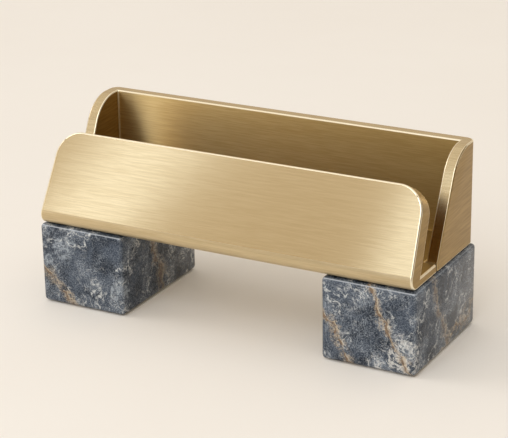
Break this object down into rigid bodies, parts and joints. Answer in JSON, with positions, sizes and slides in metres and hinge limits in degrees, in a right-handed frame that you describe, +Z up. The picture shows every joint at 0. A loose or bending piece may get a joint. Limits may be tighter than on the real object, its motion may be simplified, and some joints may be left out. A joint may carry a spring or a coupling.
{
  "type": "business card holder",
  "caption": "Desk holder for business cards: a satin brass trough with a leaning front lip, open at the top, standing on blocks of blue-grey marble at its ends.",
  "frame": {"origin": "centre of the bounding box on the plane that the base pads rest on", "axes": "+X along the trough, +Y from the front lip to the back wall, +Z up"},
  "size_m": [0.105, 0.037, 0.0485],
  "materials": {
    "satin_brass": "fine brushed satin, grain along the length",
    "blue_grey_marble": "polished, white speckle and ochre veins",
    "black_rubber": "matt",
    "stainless_steel": "plain"
  },
  "bodies": {
    "root": {"front_lip_and_floor": "satin_brass", "back_wall": "satin_brass", "left_end_wall": "satin_brass", "right_end_wall": "satin_brass", "left_stone_foot": "blue_grey_marble", "left_bedding_pad": "black_rubber", "left_base_pad": "black_rubber", "left_front_boss": "satin_brass", "left_front_screw": "stainless_steel", "left_front_washer": "stainless_steel", "left_rear_boss": "satin_brass", "left_rear_screw": "stainless_steel", "left_rear_washer": "stainless_steel", "right_stone_foot": "blue_grey_marble", "right_bedding_pad": "black_rubber", "right_base_pad": "black_rubber", "right_front_boss": "satin_brass", "right_front_screw": "stainless_steel", "right_front_washer": "stainless_steel", "right_rear_boss": "satin_brass", "right_rear_screw": "stainless_steel", "right_rear_washer": "stainless_steel"}
  },
  "joints": []
}
